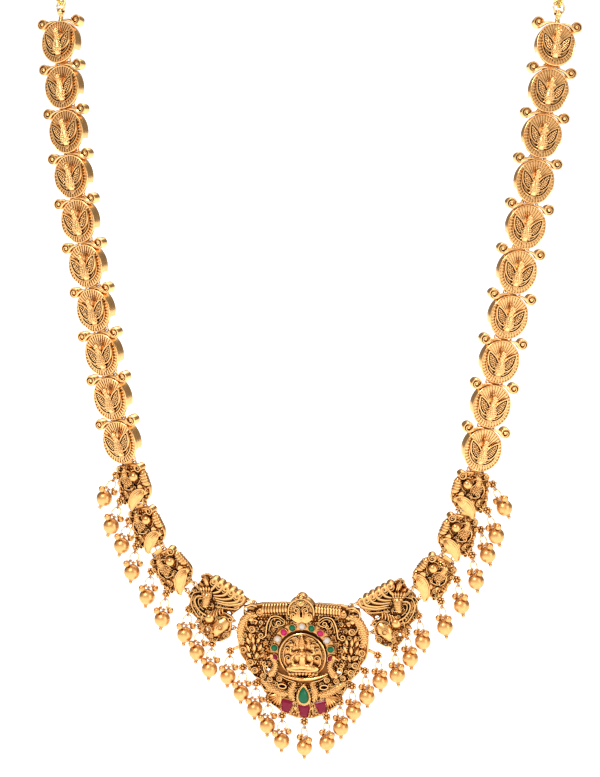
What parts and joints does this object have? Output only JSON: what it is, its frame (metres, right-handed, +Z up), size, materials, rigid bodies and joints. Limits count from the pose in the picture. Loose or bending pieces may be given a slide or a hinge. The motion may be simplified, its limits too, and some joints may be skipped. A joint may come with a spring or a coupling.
{
  "type": "temple jewellery necklace",
  "caption": "Necklace of oval peacock medallions, bird-shaped links and a goddess pendant set with stones, with a fringe of beads, closed by a doubled rope chain; held as it is worn",
  "frame": {"origin": "Middle of the clasp ring at the nape of the neck, where the necklace rests when it is worn", "axes": "+Z up, -Y is the front of the wearer, +X is the right side in a front view"},
  "size_m": [0.2082, 0.1065, 0.3432],
  "materials": {
    "antique_gold": "matte antique gold plating, darker in the recesses",
    "satin_gold": "satin gold plating on the hanging beads",
    "wire_gold": "drawn wire, pale gold plating",
    "chain_gold": "bright lemon gold plating",
    "emerald": "cut green stone, foiled behind",
    "ruby": "cut wine-red and pink stone, foiled behind",
    "white_stone": "cut white stone, foiled behind"
  },
  "bodies": {
    "root": {"medallion_l01": "antique_gold", "medallion_l02": "antique_gold", "medallion_l03": "antique_gold", "medallion_l04": "antique_gold", "medallion_l05": "antique_gold", "medallion_l06": "antique_gold", "medallion_l07": "antique_gold", "medallion_l08": "antique_gold", "medallion_l09": "antique_gold", "medallion_l10": "antique_gold", "medallion_r01": "antique_gold", "medallion_r02": "antique_gold", "medallion_r03": "antique_gold", "medallion_r04": "antique_gold", "medallion_r05": "antique_gold", "medallion_r06": "antique_gold", "medallion_r07": "antique_gold", "medallion_r08": "antique_gold", "medallion_r09": "antique_gold", "medallion_r10": "antique_gold", "bird_link_l1": "antique_gold", "bird_link_l2": "antique_gold", "bird_link_l3": "antique_gold", "bird_link_r1": "antique_gold", "bird_link_r2": "antique_gold", "bird_link_r3": "antique_gold", "yali_link_l": "antique_gold", "yali_link_r": "antique_gold", "pendant": "antique_gold", "emerald_drop": "emerald", "ruby_left": "ruby", "ruby_centre": "ruby", "ruby_right": "ruby", "arch_rubies": "ruby", "arch_emeralds": "emerald", "arch_whites": "white_stone", "link_rings_l": "antique_gold", "link_rings_r": "antique_gold", "drop_rings_l": "wire_gold", "drop_rings_r": "wire_gold", "drop_beads_l": "satin_gold", "drop_beads_r": "satin_gold", "end_ring_l": "wire_gold", "end_ring_r": "wire_gold", "back_chain_l": "chain_gold", "back_chain_r": "chain_gold", "clasp": "chain_gold"}
  },
  "joints": []
}
